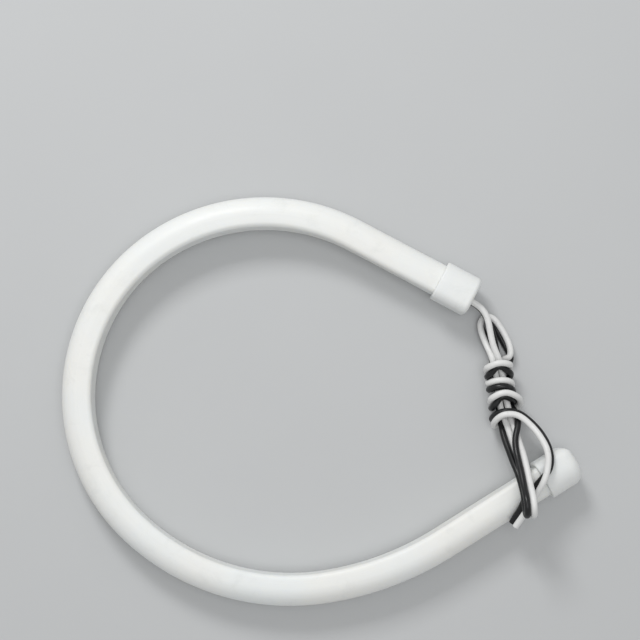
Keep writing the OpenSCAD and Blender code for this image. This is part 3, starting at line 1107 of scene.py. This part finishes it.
def plated_terminals():
    """Silver ends of the resistors and the two terminals at the foot of each LED."""
    inside = inside_sizes()
    plate, foot = inside.plating, strip_face()
    end_top, end_half = foot + inside.resistor_thickness + plate, inside.resistor_width / 2 + plate
    reach, rise, half = 0.0002, 0.0005, inside.led_width * 0.32
    parts = []
    for station in resistor_stations():
        for way in (-1, 1):
            inner, outer = (station + way * inside.resistor_length * share for share in (0.34, 0.5))
            start, end = sorted((inner, outer + way * plate))
            parts.append(block_rings(start, end, foot + LIFT, end_top, end_half, 0.00004))
    for station in led_stations()[0]:
        for way in (-1, 1):
            edge = station + way * inside.led_length / 2
            sizes = (foot + LIFT, foot + rise, half, 0.00005)
            parts.append(block_rings(edge - reach, edge + reach, *sizes))
    return skinned_piece("plated_terminals", parts, solder(), smooth=False)


def phosphor_windows():
    """Yellow gel in the round windows of the LEDs."""
    parts = [window_rings(station) for station in led_stations()[0]]
    return skinned_piece("phosphor_windows", parts, phosphor())


# The stage


def aimed(name, data, place, target):
    """A camera or a lamp that stands in one place and points at another."""
    made = bpy.data.objects.new(name, data)
    made.location = place
    made.rotation_mode = "QUATERNION"
    made.rotation_quaternion = (Vector(target) - Vector(place)).to_track_quat("-Z", "Y")
    bpy.context.scene.collection.objects.link(made)
    return made


def make_camera(look):
    """The camera, at the angle that the light is seen from."""
    data = bpy.data.cameras.new("camera")
    data.sensor_width, data.lens = 36, look.lens
    data.clip_start, data.clip_end = 0.01, 20
    bpy.context.scene.camera = aimed("camera", data, look.eye, look.target)


def make_lamp(name, place, size, power, colour):
    """A square soft lamp that points at the middle of the scene."""
    data = bpy.data.lights.new(name, "AREA")
    data.size, data.energy, data.color = size, power, colour
    aimed(name, data, place, (0, 0, 0))


def make_floor(look):
    """A wide pale floor at the level that the caps lie on."""
    level, reach = CAD_BOX[0].z, 3.0
    ways = ((-1, -1), (1, -1), (1, 1), (-1, 1))
    mesh = bpy.data.meshes.new("floor")
    mesh.from_pydata([(x * reach, y * reach, level) for x, y in ways], [], [(0, 1, 2, 3)])
    mesh.materials.append(floor_finish(look.floor))
    floor = bpy.data.objects.new("floor", mesh)
    bpy.context.scene.collection.objects.link(floor)


def make_sky(look):
    """Even light all round."""
    world = bpy.data.worlds.new("studio")
    world.use_nodes = True
    sky = world.node_tree.nodes["Background"]
    sky.inputs["Color"].default_value = (1, 1, 1, 1)
    sky.inputs["Strength"].default_value = look.sky
    bpy.context.scene.world = world


# Operators


class StripOperator:
    """What the builders share."""

    bl_options = {"REGISTER", "UNDO"}


class STRIP_OT_stage(StripOperator, Operator):
    """Set up the camera, the lamps and the floor"""

    bl_idname = "strip.stage"
    bl_label = "Stage"

    def execute(self, context):
        look = context.scene.strip_stage
        context.scene.view_settings.view_transform = "Standard"
        make_camera(look)
        make_lamp("key_lamp", (-0.20, 0.50, 0.50), 0.20, look.key, (1.0, 1.0, 1.0))
        make_lamp("overhead_lamp", (0.10, -0.04, 0.95), 0.5, look.fill, (0.98, 0.99, 1.0))
        make_floor(look)
        make_sky(look)
        return {"FINISHED"}


class STRIP_OT_lead(StripOperator, Operator):
    """Build the two wires, folded and tied in their hank"""

    bl_idname = "strip.lead"
    bl_label = "Lead"

    def execute(self, context):
        lines = strand_lines()
        for colour, finish in (("white", white_insulation()), ("black", black_insulation())):
            nodes = [f"{colour}_exit", f"{colour}_legs", f"{colour}_tail", "lead_hank"]
            wire_strand(f"{colour}_wire", lines[colour], finish, nodes)
        return {"FINISHED"}


class STRIP_OT_tube(StripOperator, Operator):
    """Build the milky tube"""

    bl_idname = "strip.tube"
    bl_label = "Tube"

    def execute(self, context):
        milky_tube()
        return {"FINISHED"}


class STRIP_OT_caps(StripOperator, Operator):
    """Build the two moulded caps"""

    bl_idname = "strip.caps"
    bl_label = "Caps"

    def execute(self, context):
        lead_end_cap()
        closed_end_cap()
        return {"FINISHED"}


class STRIP_OT_inside(StripOperator, Operator):
    """Finish what the tube and the caps hold"""

    bl_idname = "strip.inside"
    bl_label = "Inside"

    def execute(self, context):
        finishes = {
            "black_inner_wire": black_insulation(),
            "white_inner_wire": white_insulation(),
            "black_core": copper(),
            "white_core": copper(),
            "black_solder": solder(),
            "white_solder": solder(),
            "lead_sealant": cap_sealant(),
            "closed_sealant": cap_sealant(),
            "circuit_strip": strip_mask(),
        }
        package, glaze = led_package(), resistor_glaze()
        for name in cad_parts:
            if name.startswith("led_"):
                finishes[name] = package
            elif name.startswith("resistor_"):
                finishes[name] = glaze
        for name, finish in finishes.items():
            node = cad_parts[name]
            node.data.materials.clear()
            node.data.materials.append(finish)
        plated_terminals()
        phosphor_windows()
        return {"FINISHED"}


class STRIP_PT_panel(Panel):
    """Lists the light's builders and their sizes"""

    bl_label = "LED strip light"
    bl_idname = "STRIP_PT_panel"
    bl_space_type = "VIEW_3D"
    bl_region_type = "UI"
    bl_category = "Strip light"

    def draw(self, context):
        for title, group, operators in PANEL_ROWS:
            box = self.layout.box()
            box.label(text=title)
            settings = getattr(context.scene, group)
            for key in settings.__annotations__:
                box.prop(settings, key)
            for operator in operators:
                box.operator(operator)


GROUPS = {
    "strip_stage": StageLook,
    "strip_tube": TubeSizes,
    "strip_caps": CapSizes,
    "strip_lead": LeadSizes,
    "strip_inside": InsideSizes,
    "strip_colours": Colours,
}
PANEL_ROWS = (
    ("Stage", "strip_stage", ["strip.stage"]),
    ("Lead", "strip_lead", ["strip.lead"]),
    ("Tube", "strip_tube", ["strip.tube"]),
    ("Caps", "strip_caps", ["strip.caps"]),
    ("Inside", "strip_inside", ["strip.inside"]),
    ("Colours", "strip_colours", []),
)
CLASSES = (
    *GROUPS.values(),
    STRIP_OT_stage,
    STRIP_OT_lead,
    STRIP_OT_tube,
    STRIP_OT_caps,
    STRIP_OT_inside,
    STRIP_PT_panel,
)


def register():
    for cls in CLASSES:
        bpy.utils.register_class(cls)
    for name, group in GROUPS.items():
        setattr(bpy.types.Scene, name, PointerProperty(type=group))


def unregister():
    for name in GROUPS:
        delattr(bpy.types.Scene, name)
    for cls in reversed(CLASSES):
        bpy.utils.unregister_class(cls)


def main():
    register()
    bpy.ops.strip.stage()
    bpy.ops.strip.lead()
    bpy.ops.strip.tube()
    bpy.ops.strip.caps()
    bpy.ops.strip.inside()


if __name__ == "__main__":
    main()
